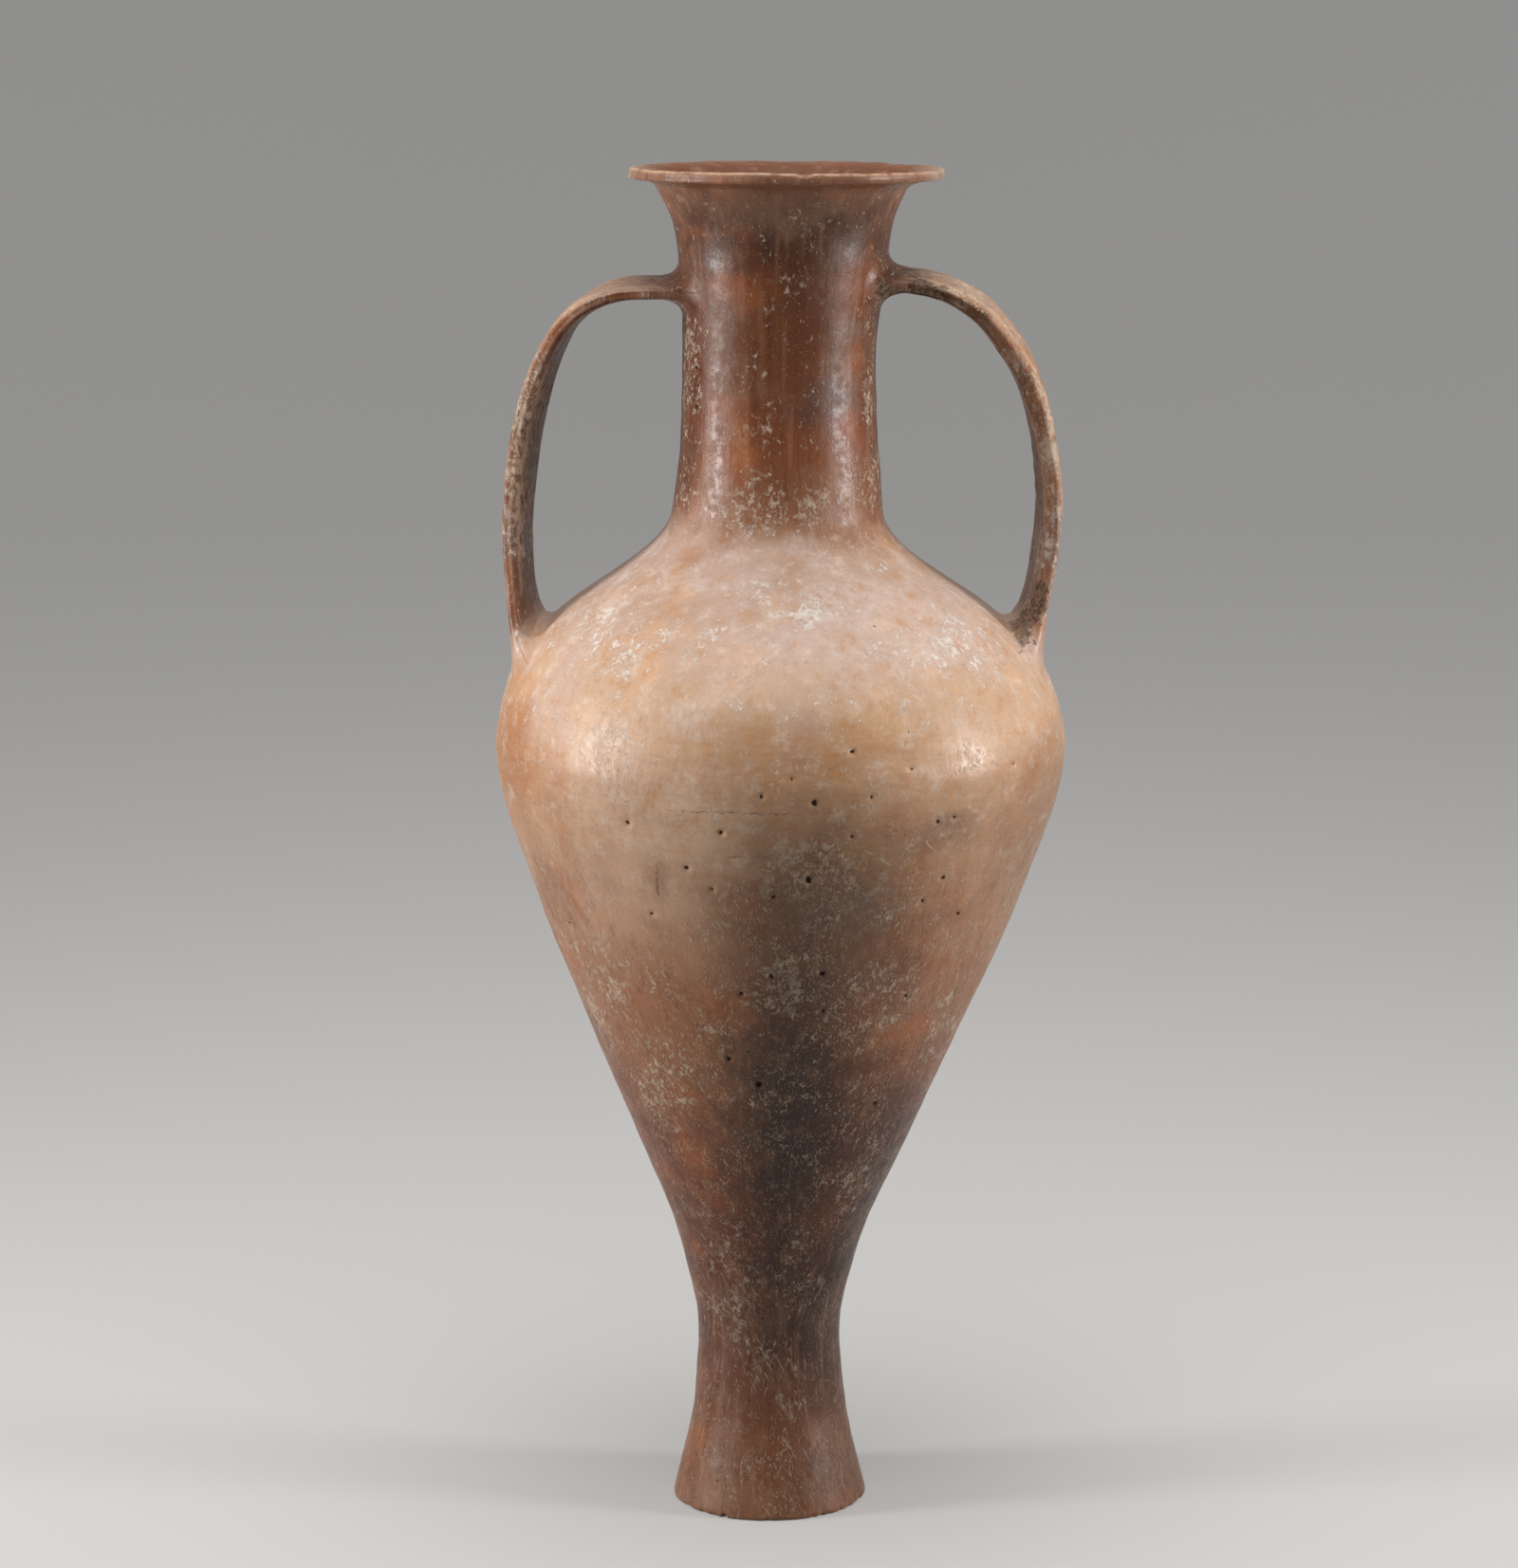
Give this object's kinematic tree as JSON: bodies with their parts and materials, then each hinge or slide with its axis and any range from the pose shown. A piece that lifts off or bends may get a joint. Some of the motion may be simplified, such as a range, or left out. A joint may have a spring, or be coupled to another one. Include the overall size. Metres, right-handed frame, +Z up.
{
  "type": "two-handled pottery jar",
  "caption": "Tall free-standing burnished earthenware jar with a narrow flared foot, wide shoulder, tall neck, everted lip and two strap handles from neck to shoulder.",
  "frame": {"origin": "on the ground, under the middle of the jar's bounding box, 4 mm to the right of the foot's own axis because the jar leans", "axes": "+Z up, -X and +X towards the two handles, -Y towards the side shown in the picture"},
  "size_m": [0.2108, 0.2108, 0.5],
  "materials": {
    "foot_clay": "burnished earthenware, semi-gloss, worn and encrusted",
    "body_clay": "burnished earthenware, semi-gloss, worn and encrusted",
    "belly_clay": "burnished earthenware, semi-gloss, worn and encrusted",
    "shoulder_clay": "burnished earthenware, semi-gloss, worn and encrusted",
    "neck_clay": "burnished earthenware, semi-gloss, worn and encrusted",
    "lip_clay": "burnished earthenware, semi-gloss, worn and encrusted",
    "handle_clay": "burnished earthenware, semi-gloss, worn and encrusted",
    "luting_clay": "burnished earthenware, semi-gloss, worn and encrusted"
  },
  "bodies": {
    "root": {"base_disc": "foot_clay", "foot_ring": "foot_clay", "foot_stem": "foot_clay", "lower_body_1": "body_clay", "lower_body_2": "body_clay", "lower_body_3": "body_clay", "belly_1": "belly_clay", "belly_2": "belly_clay", "shoulder_1": "shoulder_clay", "shoulder_2": "shoulder_clay", "neck_base": "neck_clay", "neck_middle": "neck_clay", "neck_upper": "neck_clay", "mouth_flare": "neck_clay", "rim_lip": "lip_clay", "handle_left": "handle_clay", "handle_right": "handle_clay", "luting_left_neck": "luting_clay", "luting_left_shoulder": "luting_clay", "luting_right_neck": "luting_clay", "luting_right_shoulder": "luting_clay"}
  },
  "joints": []
}
